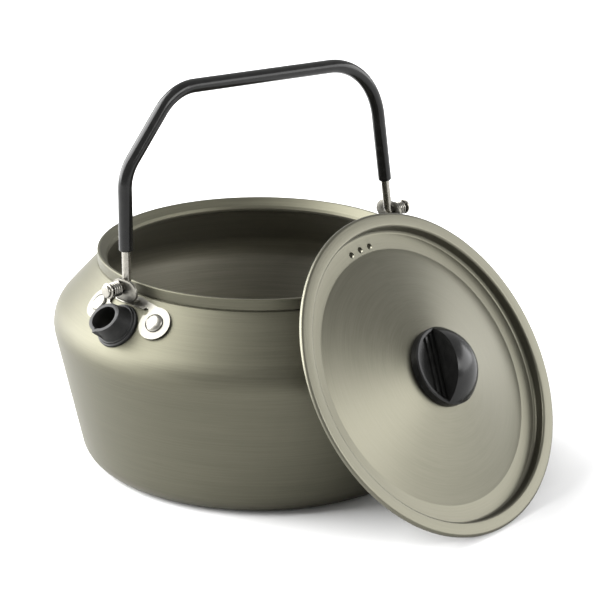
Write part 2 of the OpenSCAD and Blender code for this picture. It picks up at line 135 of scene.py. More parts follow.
class Bench:
    """Modelling steps shared by all pieces, with sizes in millimetres."""

    @staticmethod
    def clear() -> None:
        """Leaves edit mode and deselects everything."""
        if bpy.context.object and bpy.context.object.mode != "OBJECT":
            bpy.ops.object.mode_set(mode="OBJECT")
        bpy.ops.object.select_all(action="DESELECT")

    @staticmethod
    def only(piece: Piece) -> None:
        """Makes one piece the active and only selected object."""
        Bench.clear()
        piece.select_set(True)
        bpy.context.view_layer.objects.active = piece

    @staticmethod
    def edit() -> None:
        """Enters edit mode with everything selected."""
        bpy.ops.object.mode_set(mode="EDIT")
        bpy.ops.mesh.select_all(action="SELECT")

    @staticmethod
    def named(name: str) -> Piece:
        """Names the active object and gives it back."""
        piece = bpy.context.object
        piece.name = piece.data.name = name
        return piece

    @staticmethod
    def tidy(piece: Piece, angle: float = 32.0) -> Piece:
        """Merges doubles, turns faces outwards and smooths a piece.

        Args:
            piece: The piece to finish.
            angle: Sharpest angle in degrees that is still shaded smooth.

        Returns:
            The same piece.
        """
        Bench.only(piece)
        Bench.edit()
        bpy.ops.mesh.remove_doubles(threshold=MERGE)
        bpy.ops.mesh.normals_make_consistent(inside=False)
        bpy.ops.object.mode_set(mode="OBJECT")
        bpy.ops.object.shade_smooth_by_angle(angle=math.radians(angle))
        return piece

    @staticmethod
    def lathe(name: str, outline: Sequence[Point], steps: int = 192, angle: float = 32.0) -> Piece:
        """Spins an outline of (radius, height) points once round the Z axis.

        Args:
            name: Name of the new piece.
            outline: Closed outline, or one that begins and ends on the axis.
            steps: Steps round the axis.
            angle: Smoothing angle in degrees.

        Returns:
            The spun piece.
        """
        Bench.clear()
        bpy.ops.mesh.primitive_plane_add(size=MM)
        piece = Bench.named(name)
        Bench.edit()
        bpy.ops.mesh.merge(type="CENTER")
        r, z = outline[0]
        bpy.ops.transform.translate(value=(r * MM, 0, z * MM))
        closed = outline[0][0] > 1e-4
        for nr, nz in list(outline[1:]) + ([outline[0]] if closed else []):
            bpy.ops.mesh.extrude_region_move(
                TRANSFORM_OT_translate={"value": ((nr - r) * MM, 0, (nz - z) * MM)}
            )
            r, z = nr, nz
        bpy.ops.mesh.select_all(action="SELECT")
        bpy.ops.mesh.remove_doubles(threshold=MERGE)
        bpy.ops.mesh.spin(steps=steps, angle=math.tau, center=(0, 0, 0), axis=(0, 0, 1))
        return Bench.tidy(piece, angle)

    @staticmethod
    def tube(name: str, route: Sequence[Point], bends: Sequence[float], radius: float, sides: int = 40) -> Piece:
        """Bends a round rod along a route in the XZ plane.

        Args:
            name: Name of the new piece.
            route: Corners of the route as (x, z).
            bends: Bend radius at each inner corner.
            radius: Radius of the rod.
            sides: Sides of its section.

        Returns:
            The rod, with closed ends.
        """
        first = (Vector(route[1]) - Vector(route[0])).normalized()
        Bench.clear()
        bpy.ops.mesh.primitive_circle_add(
            vertices=sides,
            radius=radius * MM,
            fill_type="NGON",
            location=(route[0][0] * MM, 0, route[0][1] * MM),
            rotation=(0, math.pi / 2 - math.atan2(first.y, first.x), 0),
        )
        piece = Bench.named(name)
        bpy.ops.object.transform_apply()
        Bench.edit()
        spent = 0.0
        for i in range(1, len(route)):
            a, b = Vector(route[i - 1]), Vector(route[i])
            run = (b - a).normalized()
            length = (b - a).length - spent
            spent = 0.0
            if i < len(route) - 1:
                c = Vector(route[i + 1])
                out = (c - b).normalized()
                turn = math.atan2(run.x * out.y - run.y * out.x, run.dot(out))
                spent = bends[i - 1] * math.tan(abs(turn) / 2)
            parts = max(1, int((length - spent) / 6))
            step = run * (length - spent) / parts * MM
            for _ in range(parts):
                bpy.ops.mesh.extrude_region_move(TRANSFORM_OT_translate={"value": (step.x, 0, step.y)})
            if i < len(route) - 1:
                side = 1 if turn > 0 else -1
                start = b - run * spent
                mid = start + Vector((-run.y, run.x)) * side * bends[i - 1]
                bpy.ops.mesh.spin(
                    steps=max(6, int(abs(turn) * bends[i - 1] / 1.2)),
                    angle=abs(turn),
                    center=(mid.x * MM, 0, mid.y * MM),
                    axis=(0, side, 0),
                )
        return Bench.tidy(piece)

    @staticmethod
    def modify(piece: Piece, kind: str, **settings: Any) -> None:
        """Adds a modifier, sets it and applies it.

        Args:
            piece: The piece that gets it.
            kind: Name of the modifier type.
            **settings: Its settings.
        """
        Bench.only(piece)
        modifier = piece.modifiers.new(kind.lower(), kind)
        for key, value in settings.items():
            setattr(modifier, key, value)
        bpy.ops.object.modifier_apply(modifier=modifier.name)

    @staticmethod
    def combine(piece: Piece, tool: Piece, how: str = "DIFFERENCE") -> None:
        """Cuts a tool out of a piece, or joins it on, and throws the tool away."""
        Bench.modify(piece, "BOOLEAN", object=tool, operation=how, solver="EXACT")
        bpy.data.objects.remove(tool, do_unlink=True)

    @staticmethod
    def bevel(piece: Piece, width: float, segments: int = 3, angle: float = 35.0) -> None:
        """Rounds a piece's edges that are sharper than an angle in degrees."""
        Bench.modify(
            piece,
            "BEVEL",
            width=width * MM,
            segments=segments,
            limit_method="ANGLE",
            angle_limit=math.radians(angle),
            use_clamp_overlap=True,
            miter_outer="MITER_ARC",
        )
        Bench.tidy(piece, 40.0)

    @staticmethod
    def rod(radius: float, low: float, high: float, sides: int = 64, place: Point = (0, 0)) -> Piece:
        """Makes a plain round rod on Z, used as a cutter.

        Args:
            radius: Its radius.
            low: Height of its lower end.
            high: Height of its upper end.
            sides: Number of sides.
            place: Its centre in x and y.

        Returns:
            The rod.
        """
        Bench.clear()
        bpy.ops.mesh.primitive_cylinder_add(
            vertices=sides,
            radius=radius * MM,
            depth=(high - low) * MM,
            location=(place[0] * MM, place[1] * MM, (low + high) / 2 * MM),
        )
        bpy.ops.object.transform_apply()
        return bpy.context.object

    @staticmethod
    def block(low: Triple, high: Triple, turn: Matrix | None = None) -> Piece:
        """Makes a plain block between two corners, used as a cutter.

        Args:
            low: Lowest corner.
            high: Highest corner.
            turn: Turn about the origin that is given to it afterwards.

        Returns:
            The block.
        """
        Bench.clear()
        bpy.ops.mesh.primitive_cube_add(size=1)
        tool = bpy.context.object
        tool.scale = [(b - a) * MM for a, b in zip(low, high)]
        tool.location = [(a + b) / 2 * MM for a, b in zip(low, high)]
        bpy.ops.object.transform_apply()
        if turn is not None:
            Bench.place(tool, turn)
        return tool

    @staticmethod
    def place(piece: Piece, where: Matrix) -> Piece:
        """Moves a piece by a matrix in metres and keeps its object at the origin."""
        Bench.only(piece)
        piece.matrix_world = where @ piece.matrix_world
        bpy.ops.object.transform_apply()
        return piece

    @staticmethod
    def copy(piece: Piece, name: str, where: Matrix) -> Piece:
        """Copies a piece with a mesh of its own and moves the copy.

        Args:
            piece: The piece to copy.
            name: Name of the copy.
            where: Matrix that moves it, in metres.

        Returns:
            The copy.
        """
        Bench.only(piece)
        bpy.ops.object.duplicate(linked=False)
        return Bench.place(Bench.named(name), where)

    @staticmethod
    def prism(name: str, outline: Sequence[Point], low: float, high: float) -> Piece:
        """Raises an outline in the XY plane into a solid.

        Args:
            name: Name of the new piece.
            outline: Its corners in order.
            low: Height of its lower face.
            high: Height of its upper face.

        Returns:
            The solid.
        """
        Bench.clear()
        bpy.ops.mesh.primitive_circle_add(vertices=len(outline), radius=MM, fill_type="NGON")
        piece = Bench.named(name)
        for vertex, (x, y) in zip(piece.data.vertices, outline):
            vertex.co = Vector((x, y, low)) * MM
        Bench.edit()
        bpy.ops.mesh.extrude_region_move(TRANSFORM_OT_translate={"value": (0, 0, (high - low) * MM)})
        return Bench.tidy(piece)

    @staticmethod
    def slice(piece: Piece, low: float, high: float, step: float) -> None:
        """Divides a piece by planes square to Y, so that it can be bent.

        Args:
            piece: The piece to divide.
            low: Place of the first plane.
            high: No plane lies beyond this.
            step: Distance between planes.
        """
        Bench.only(piece)
        bpy.ops.object.mode_set(mode="EDIT")
        bpy.ops.mesh.select_mode(type="VERT")
        for k in range(int((high - low) / step) + 1):
            bpy.ops.mesh.select_all(action="SELECT")
            bpy.ops.mesh.bisect(plane_co=(0, (low + step * k) * MM, 0), plane_no=(0, 1, 0))
        bpy.ops.object.mode_set(mode="OBJECT")


# ---------- shader maths ----------


class Value:
    """A shader socket that can be used in Python expressions."""

    def __init__(self, shader: "Shader", socket: bpy.types.NodeSocket) -> None:
        """Wraps a socket of a shader."""
        self.shader = shader
        self.socket = socket

    def _math(self, operation: str, *terms: Any) -> "Value":
        """Adds a Math node on the terms."""
        node = self.shader.node("ShaderNodeMath", {"operation": operation}, dict(enumerate(terms)))
        return Value(self.shader, node.outputs[0])

    def __add__(self, other: Any) -> "Value":
        """Sum."""
        return self._math("ADD", self, other)

    __radd__ = __add__

    def __sub__(self, other: Any) -> "Value":
        """Difference."""
        return self._math("SUBTRACT", self, other)

    def __rsub__(self, other: Any) -> "Value":
        """Difference from a number."""
        return self._math("SUBTRACT", other, self)

    def __mul__(self, other: Any) -> "Value":
        """Product."""
        return self._math("MULTIPLY", self, other)

    __rmul__ = __mul__

    def __pow__(self, other: Any) -> "Value":
        """Power."""
        return self._math("POWER", self, other)

    def angle_from(self, other: "Value") -> "Value":
        """Angle of the point (other, self)."""
        return self._math("ARCTAN2", self, other)

    def within(self, low: float, high: float) -> "Value":
        """Smooth step from 0 below low to 1 above high."""
        node = self.shader.node(
            "ShaderNodeMapRange",
            {"interpolation_type": "SMOOTHSTEP"},
            {"Value": self, "From Min": low, "From Max": high},
        )
        return Value(self.shader, node.outputs["Result"])


class Shader:
    """A material and its nodes."""

    def __init__(self, name: str) -> None:
        """Starts a material with a Principled shader."""
        self.material = bpy.data.materials.new(name)
        self.material.use_nodes = True
        self.tree = self.material.node_tree
        self.tree.nodes.clear()
        self.surface = self.node("ShaderNodeBsdfPrincipled", {}, {})
        output = self.node("ShaderNodeOutputMaterial", {}, {})
        self.tree.links.new(self.surface.outputs[0], output.inputs["Surface"])

    def node(self, kind: str, settings: dict[str, Any], values: dict[Any, Any]) -> bpy.types.Node:
        """Adds one node.

        Args:
            kind: Node type.
            settings: Properties of the node, set first.
            values: Socket name or number to a value or a link.

        Returns:
            The node.
        """
        node = self.tree.nodes.new(kind)
        for key, value in settings.items():
            setattr(node, key, value)
        for key, value in values.items():
            self.feed(node.inputs[key], value)
        return node

    def feed(self, socket: bpy.types.NodeSocket, value: Any) -> None:
        """Sets a socket to a number or colour, or links it."""
        if isinstance(value, Value):
            self.tree.links.new(value.socket, socket)
        elif isinstance(value, bpy.types.NodeSocket):
            self.tree.links.new(value, socket)
        else:
            socket.default_value = value

    def paint(self, values: dict[str, Any]) -> None:
        """Feeds sockets of the surface by their names."""
        for name, value in values.items():
            self.feed(self.surface.inputs[name], value)

    def out(self, node: bpy.types.Node, name: str | int = 0) -> Value:
        """Wraps an output of a node."""
        return Value(self, node.outputs[name])

    def place(self, frame_of: Matrix | None = None) -> tuple[Value, Value, Value]:
        """Object coordinates in millimetres, seen from a piece's own frame.

        Args:
            frame_of: The piece's frame in metres; None is the object's own.

        Returns:
            The x, y and z values.
        """
        point = self.out(self.node("ShaderNodeTexCoord", {}, {}), "Object")
        inverse = (frame_of or Matrix.Identity(4)).inverted()
        turned = self.node(
            "ShaderNodeMapping",
            {"vector_type": "POINT"},
            {
                "Vector": point,
                "Location": inverse.to_translation() / MM,
                "Rotation": inverse.to_euler(),
                "Scale": (1 / MM, 1 / MM, 1 / MM),
            },
        )
        parts = self.node("ShaderNodeSeparateXYZ", {}, {"Vector": turned.outputs[0]})
        return self.out(parts, 0), self.out(parts, 1), self.out(parts, 2)

    def vector(self, x: Any, y: Any, z: Any) -> Value:
        """Joins three values into a vector."""
        return self.out(self.node("ShaderNodeCombineXYZ", {}, {0: x, 1: y, 2: z}))

    def noise(self, at: Value, scale: float, detail: float = 3.0, roughness: float = 0.5) -> Value:
        """Noise from 0 to 1, read at a point."""
        node = self.node(
            "ShaderNodeTexNoise", {}, {"Vector": at, "Scale": scale, "Detail": detail, "Roughness": roughness}
        )
        return self.out(node, "Fac")

    def blend(self, mask: Value, low: Sequence[float], high: Sequence[float]) -> Value:
        """Mixes two colours by a mask."""
        node = self.node(
            "ShaderNodeMix",
            {"data_type": "RGBA"},
            {0: mask, 6: (*low, 1.0), 7: (*high, 1.0)},
        )
        return self.out(node, 2)

    def bump(self, height: Value, depth: float) -> None:
        """Feeds a height, in units of depth millimetres, to the surface's normal."""
        node = self.node("ShaderNodeBump", {}, {"Strength": 1.0, "Distance": depth * MM, "Height": height})
        self.feed(self.surface.inputs["Normal"], self.out(node))


# ---------- finishes ----------


@dataclass(frozen=True)
class SpunAlloy:
    """Hard-anodised aluminium with fine turning lines round an axis."""

    name: str
    tone: Triple = (0.075, 0.0725, 0.0525)
    pale: Triple = (0.092, 0.0888, 0.0648)
    roughness: float = 0.52
    line_depth: float = 0.0019
    axis: Matrix | None = None

    def make(self) -> Material:
        """Builds the material."""
        shader = Shader(self.name)
        x, y, z = shader.place(self.axis)
        r = (x * x + y * y) ** 0.5
        turn = y.angle_from(x)
        # Lines run round the axis, so they change along the wall and hardly round it
        fine = shader.noise(shader.vector(r * 1.0, z * 1.0, turn * 1.4), 2.0, 2.0, 0.6)
        broad = shader.noise(shader.vector(r * 0.22, z * 0.22, turn * 0.35), 1.0, 3.0, 0.6)
        grain = shader.noise(shader.vector(x, y, z), 2.2, 4.0, 0.7)
        lines = fine * 0.6 + broad * 0.25 + grain * 0.15
        colour = shader.blend(lines.within(0.3, 0.7), self.tone, self.pale)
        gloss = lines * 0.16 + (self.roughness - 0.08)
        shader.paint({"Base Color": colour, "Roughness": gloss, "Metallic": 0.9, "Specular IOR Level": 0.5})
        shader.bump(lines, self.line_depth)
        return shader.material


@dataclass(frozen=True)
class BrightSteel:
    """Stainless steel, polished or drawn, with faint scratches."""

    name: str
    tone: Triple = (0.63, 0.61, 0.56)
    shade: Triple = (0.5, 0.485, 0.44)
    roughness: float = 0.16
    grain: float = 3.0

    def make(self) -> Material:
        """Builds the material."""
        shader = Shader(self.name)
        x, y, z = shader.place()
        cloud = shader.noise(shader.vector(x, y, z), 0.35, 4.0, 0.6)
        scratch = shader.noise(shader.vector(x * 0.25, y * self.grain, z * 0.6), 1.6, 3.0, 0.7)
        worn = cloud * 0.5 + scratch * 0.5
        colour = shader.blend(worn.within(0.35, 0.65), self.shade, self.tone)
        shader.paint({"Base Color": colour, "Roughness": worn * 0.2 + (self.roughness - 0.1), "Metallic": 1.0})
        shader.bump(worn, 0.004)
        return shader.material


@dataclass(frozen=True)
class DarkPolymer:
    """Black moulded plastic or rubber."""

    name: str
    tone: Triple = (0.011, 0.011, 0.0105)
    bloom: Triple = (0.02, 0.02, 0.019)
    roughness: float = 0.2
    pebble: float = 0.01

    def make(self) -> Material:
        """Builds the material."""
        shader = Shader(self.name)
        x, y, z = shader.place()
        at = shader.vector(x, y, z)
        cloud = shader.noise(at, 0.28, 4.0, 0.6)
        grain = shader.noise(at, 3.5, 2.0, 0.5)
        colour = shader.blend(cloud.within(0.35, 0.7), self.tone, self.bloom)
        gloss = cloud * 0.12 + grain * 0.06 + (self.roughness - 0.08)
        shader.paint({"Base Color": colour, "Roughness": gloss, "Specular IOR Level": 0.22})
        shader.bump(grain, self.pebble)
        return shader.material


@dataclass(frozen=True)
class TurnedBrass:
    """Plain turned brass of the knob's insert."""

    name: str
    tone: Triple = (0.6, 0.42, 0.18)

    def make(self) -> Material:
        """Builds the material."""
        shader = Shader(self.name)
        x, y, z = shader.place()
        cloud = shader.noise(shader.vector(x, y, z), 0.8, 3.0)
        colour = shader.blend(cloud.within(0.3, 0.7), self.tone, tuple(0.8 * c for c in self.tone))
        shader.paint({"Base Color": colour, "Roughness": cloud * 0.2 + 0.2, "Metallic": 1.0})
        shader.bump(cloud, 0.004)
        return shader.material


def dress(piece: Piece, material: Material) -> None:
    """Gives a piece one material."""
    piece.data.materials.clear()
    piece.data.materials.append(material)
    for face in piece.data.polygons:
        face.material_index = 0


# ---------- places shared by the sub-assemblies ----------


@dataclass(frozen=True)
class Form:
    """Leading sizes of the kettle, in millimetres and degrees."""

    height: float = 85.2
    base_r: float = 69.8
    base_corner: float = 9.0
    belly_r: float = 82.7
    belly_z: float = 59.4
    belly_corner: float = 13.8
    collar_r: float = 63.75
    collar_h: float = 4.3
    lip_reach: float = 4.0
    crease: float = 1.2
    wall: float = 1.2
    skew: float = 1.5
    spout_down: float = 14.0
    rivet_down: float = 9.1
    rivet_angle: float = 12.9
    pivot_z: float = 84.0
    front_leg: float = 67.0
    rear_leg: float = 71.85
    foot_bend: float = 1.95
    sheet: float = 1.0

    @property
    def top(self) -> Vector:
        """Upper end of the shoulder as (radius, height)."""
        return Vector((self.collar_r + 0.05, self.height - self.collar_h - 0.7))

    @property
    def rise(self) -> Vector:
        """Unit step up the shoulder."""
        return (self.top - Vector((self.belly_r, self.belly_z))).normalized()

    @property
    def elevation(self) -> float:
        """Elevation of the shoulder's outward normal, in radians."""
        return math.atan2(-self.rise.x, self.rise.y)

    def on_shoulder(self, down: float, around: float = 0.0) -> Matrix:
        """Frame on the shoulder, Z out of it and X down it, at degrees round the pot."""
        at = self.top - self.rise * down
        return (
            turned(self.skew + around, "Z")
            @ shift(at.x, 0, at.y)
            @ Matrix.Rotation(math.pi / 2 - self.elevation, 4, "Y")
        )


FORM = Form()


# ---------- pot ----------


@dataclass
class Pot:
    """The spun body with its rolled collar."""

    form: Form = FORM
    spout_hole: float = 6.6
    alloy: SpunAlloy = SpunAlloy("pot_anodised")
    # The inside gets a paler copy of the alloy: painted light that brightens the shaded interior of the pot.
    inside: SpunAlloy = SpunAlloy("pot_inside_anodised_painted_light", (0.19, 0.184, 0.15), (0.24, 0.23, 0.19), 0.5)

    def build(self) -> None:
        """Builds the body, cuts the spout's hole and dresses it."""
        f = self.form
        top, rise = f.top, f.rise
        collar_z = f.height - f.collar_h
        lip_z, mouth_r = f.height - f.lip_reach, f.collar_r - f.lip_reach
        out = Vector((rise.y, -rise.x))
        inner_top = top - out * f.wall
        side = Vector((f.belly_r - f.base_r, f.belly_z)).normalized()
        base_in = (f.base_r + f.wall * (side.x - 1) / side.y, f.wall)
        belly_in = (f.belly_r - f.wall * 1.08, f.belly_z - f.wall * 0.35)
        path = [
            (0, 0, 0),
            (f.base_r, 0, f.base_corner),
            (f.belly_r, f.belly_z, f.belly_corner),
            (top.x, top.y, 0.25),
            (top.x - f.crease, collar_z - 0.1, 0.2),
            (f.collar_r - 0.1, collar_z, 0.3),
            (f.collar_r, f.height, 0.5),
            (f.collar_r - 1.15, f.height, 0.4),
            (f.collar_r - 2.2, f.height - 1.35, 1.0),
            (mouth_r + 0.5, lip_z + 1.2, 1.0),
            (mouth_r, lip_z, 0.3),
            (mouth_r + 0.4, lip_z - 0.9, 0.3),
            (inner_top.x, inner_top.y - 0.8, 0.4),
            (belly_in[0], belly_in[1], f.belly_corner - f.wall),
            (base_in[0], base_in[1], f.base_corner - f.wall),
            (0, f.wall, 0),
        ]
        outline = divided(rounded(path, steps=10, closed=False), 9.0)
        pot = Bench.lathe("pot_shell", outline, steps=256)
        hole = Bench.rod(self.spout_hole, -6, 6)
        Bench.combine(pot, Bench.place(hole, f.on_shoulder(f.spout_down)))
        Bench.tidy(pot)
        dress(pot, self.alloy.make())
        # Faces inside the pot and on its inner floor take the paler alloy, painted light for the shaded interior.
        pot.data.materials.append(self.inside.make())
        for face in pot.data.polygons:
            centre, normal = face.center, face.normal
            inward = normal.x * centre.x + normal.y * centre.y < 0 and centre.z < lip_z * MM
            floor = normal.z > 0.3 and centre.z < f.belly_z * MM / 2
            face.material_index = int(inward or floor)
        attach(pot, "pot")
        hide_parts("pot_body")
        log.info("pot: spun body with collar")


# ---------- spout ----------


@dataclass
class Spout:
    """The rubber pouring nozzle in the shoulder."""

    form: Form = FORM
    bore: float = 4.9
    tip: float = 6.1
    root: float = 7.7
    flange: float = 8.9
    length: float = 8.6
    droop: float = 5.0
    slant: float = 14.0
    hole: float = 6.55
    rubber: DarkPolymer = DarkPolymer(
        "spout_rubber", (0.006, 0.006, 0.0057), (0.011, 0.011, 0.0105), 0.5, 0.02
    )

    def build(self) -> None:
        """Builds the nozzle: flange and neck, tube, pouring lip and bore."""
        f = self.form
        path = [
            (0, -3.1, 0),
            (self.flange - 0.5, -3.1, 0.5),
            (self.flange - 0.5, -1.75, 0.5),
            (self.hole, -1.75, 0.1),
            (self.hole, -0.25, 0.1),
            (self.flange, -0.45, 0.3),
            (self.flange, 0.95, 0.35),
            (self.flange - 0.75, 1.05, 0.12),
            (self.flange - 0.85, 1.85, 0.3),
            (self.root - 0.6, 1.85, 0.2),
            (0, 1.85, 0),
        ]
        seat = Bench.lathe("spout_nozzle_rubber", rounded(path, steps=5, closed=False), steps=96)
        foot, tall, waist = 0.9, self.length * 1.2, 0.35
        taper = [
            (self.root + (self.tip - self.root) * k / 8 - waist * math.sin(math.pi * k / 8), foot + tall * k / 8)
            for k in range(1, 9)
        ]
        outline = [(0, foot), (self.root, foot), *taper, (0, foot + tall)]
        tube = Bench.lathe("spout_tube", outline, steps=96)
        lip = Bench.block(
            (-1.25, -1.25, 3.0),
            (1.25, 1.25, 13.0),
            shift(self.tip - 0.75, 0, 0) @ turned(45, "Z"),
        )
        Bench.combine(tube, lip, "UNION")
        slanted = shift(0, 0, self.length + 0.1) @ turned(-self.slant, "Y")
        mouth = Bench.block((-30, -30, 0), (30, 30, 40), slanted)
        Bench.combine(tube, mouth)
        droop = turned(self.droop, "Y")
        Bench.place(tube, droop)
        Bench.combine(seat, tube, "UNION")
        groove = Bench.block(
            (-0.95, -0.95, self.length - 4.5),
            (0.95, 0.95, 13.0),
            droop @ shift(self.bore - 0.65, 0, 0) @ turned(45, "Z"),
        )
        bore = Bench.place(Bench.rod(self.bore, -12, 24, 96), droop)
        Bench.combine(seat, bore)
        Bench.combine(seat, groove)
        Bench.bevel(seat, 0.28, 3, 50)
        Bench.place(seat, f.on_shoulder(f.spout_down))
        dress(seat, self.rubber.make())
        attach(seat, "pot")
        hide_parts("spout_nozzle")
        log.info("spout: rubber nozzle")


# ---------- lugs: brackets and rivets ----------


class Lug(Enum):
    """The two lugs and their direction round the pot, in degrees."""

    FRONT = 0
    REAR = 180


@dataclass
class Lugs:
    """Steel brackets that carry the bail, with their rivets."""

    form: Form = FORM
    head_r: float = 3.6
    head_h: float = 1.5
    eye_r: float = 6.5
    spout_clear: float = 9.5
    relief_r: float = 1.5
    relief_down: float = 8.4
    relief_across: float = 9.6
    shelf_in: float = 65.7
    shelf_drop: float = 5.6
    tab_rise: float = 3.4
    tab_half: float = 6.8
    neck_half: float = 4.2
    pin_hole_r: float = 1.78
    seat_gap: float = 0.02
    steel: BrightSteel = BrightSteel("bracket_steel_bright", (0.145, 0.14, 0.122), (0.11, 0.106, 0.093), 0.4)
    rivet_steel: BrightSteel = BrightSteel("rivet_steel_bright", (0.25, 0.242, 0.215), (0.19, 0.184, 0.165), 0.3)

    def yoke(self, lug: Lug) -> Piece:
        """Cuts the bracket's sheet flat and bends it round the shoulder.

        Args:
            lug: The lug that it belongs to.

        Returns:
            The sheet in its place.
        """
        f = self.form
        reach = (f.top - f.rise * f.rivet_down).x
        eye = (f.rivet_down, reach * math.radians(f.rivet_angle))
        crown, waist = 0.6, f.spout_down - 9.2
        half = [
            (crown, 5.0, 2.0),
            (eye[0] - 0.86 * self.eye_r, eye[1] + 0.5 * self.eye_r, 0.0),
            (eye[0] + 0.5 * self.eye_r, eye[1] - 0.7 * self.eye_r, 0.0),
            (waist, 8.4, 1.0),
        ]
        outline = half + [(x, -y, r) for x, y, r in reversed(half)]
        low, high = self.seat_gap, self.seat_gap + f.sheet
        sheet = Bench.prism("yoke", rounded(outline, 6), low, high)
        for side in (1, -1):
            Bench.combine(sheet, Bench.rod(self.eye_r, low, high, 72, (eye[0], side * eye[1])), "UNION")
        Bench.combine(sheet, Bench.rod(self.spout_clear, -5, 5, 96, (f.spout_down, 0)))
        for side in (1, -1):
            at = (f.spout_down - self.relief_down, side * self.relief_across)
            Bench.combine(sheet, Bench.rod(self.relief_r, -5, 5, 40, at))
        Bench.bevel(sheet, 0.16, 2, 50)
        Bench.slice(sheet, -23, 23, 1.15)
        normal = Vector((f.rise.y, -f.rise.x))
        for vertex in sheet.data.vertices:
            down, across, out = vertex.co / MM
            at = f.top - f.rise * down + normal * out
            turn = math.radians(f.skew + lug.value) + across / reach
            vertex.co = Vector((at.x * math.cos(turn), at.x * math.sin(turn), at.y)) * MM
        return Bench.tidy(sheet, 28)

    def tab(self, lug: Lug, leg_x: float) -> Piece:
        """Bends the shelf and the upright tab with the pivot's hole.

        Args:
            lug: The lug that it belongs to.
            leg_x: Distance of the bail's leg from the pot's axis.

        Returns:
            The tab in its place.
        """
        f = self.form
        x, t = leg_x + f.foot_bend, f.sheet
        shelf, top = f.pivot_z - self.shelf_drop, f.pivot_z + self.tab_rise
        side = rounded(
            [
                (self.shelf_in, -shelf, 0.0),
                (self.shelf_in, -shelf - t, 0.0),
                (x, -shelf - t, 0.5),
                (x, -top, 0.0),
                (x + t, -top, 0.0),
                (x + t, -shelf, 1.4),
            ],
            6,
        )
        tab = Bench.prism("tab", [(b, -a) for a, b in side], -self.tab_half, self.tab_half)
        # The outline was drawn in XZ: stand it up
        Bench.place(tab, Matrix(((0, -1, 0, 0), (0, 0, 1, 0), (-1, 0, 0, 0), (0, 0, 0, 1))))
        half = [
            (self.neck_half, shelf - 2, 0),
            (self.neck_half, shelf + 0.9, 1.5),
            (self.tab_half, shelf + 3.6, 2.0),
            (self.tab_half, top, 4.4),
        ]
        face = rounded(half + [(-y, z, r) for y, z, r in reversed(half)], 8)
        mask = Bench.prism("mask", face, 40, 100)
        Bench.place(mask, Matrix(((0, 0, 1, 0), (1, 0, 0, 0), (0, 1, 0, 0), (0, 0, 0, 1))))
        Bench.combine(tab, mask, "INTERSECT")
        Bench.place(tab, turned(f.skew, "Z"))
        hole = Bench.rod(self.pin_hole_r, 50, 90, 48)
        Bench.combine(tab, Bench.place(hole, shift(0, 0, f.pivot_z) @ turned(90, "Y")))
        Bench.bevel(tab, 0.16, 2, 50)
        return Bench.place(tab, turned(lug.value, "Z"))

    def brackets(self) -> None:
        """Builds both brackets and dresses them."""
        material = self.steel.make()
        for lug, leg_x in ((Lug.FRONT, self.form.front_leg), (Lug.REAR, self.form.rear_leg)):
            node = f"{lug.name.lower()}_bracket"
            piece = self.yoke(lug)
            Bench.combine(piece, self.tab(lug, leg_x), "UNION")
            Bench.tidy(piece, 28)
            piece.name = piece.data.name = f"{node}_sheet"
            dress(piece, material)
            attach(piece, "pot")
            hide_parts(node)
            log.info("lugs: %s", piece.name)

    def rivets(self) -> None:
        """Turns one rivet and copies it to its four places."""
        f = self.form
        low, top = f.sheet + 0.06, f.sheet + 0.06 + self.head_h
        dome = [
            (self.head_r * math.sin(t * math.pi / 16), low + 0.25 + (self.head_h - 0.25) * math.cos(t * math.pi / 16))
            for t in range(8, -1, -1)
        ]
        outline = [
            (0, -f.wall - 1.4),
            (self.head_r - 1.1, -f.wall - 1.4),
            (self.head_r - 0.35, -f.wall - 1.0),
            (self.head_r - 0.3, -f.wall - 0.45),
            (1.95, -f.wall - 0.4),
            (1.95, low),
            (self.head_r - 0.05, low),
        ] + dome
        outline[-1] = (0, top)
        master = Bench.lathe("rivet_master", outline, steps=64)
        material = self.rivet_steel.make()
        for lug in Lug:
            for side, sign in (("left", 1), ("right", -1)):
                around = lug.value + sign * f.rivet_angle
                node = f"{lug.name.lower()}_rivet_{side}"
                piece = Bench.copy(master, f"{node}_domed", f.on_shoulder(f.rivet_down, around))
                dress(piece, material)
                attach(piece, "pot")
                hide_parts(node)
                log.info("lugs: %s", piece.name)
        bpy.data.objects.remove(master, do_unlink=True)

    def build(self) -> None:
        """Builds brackets and rivets."""
        self.brackets()
        self.rivets()


# ---------- bail ----------


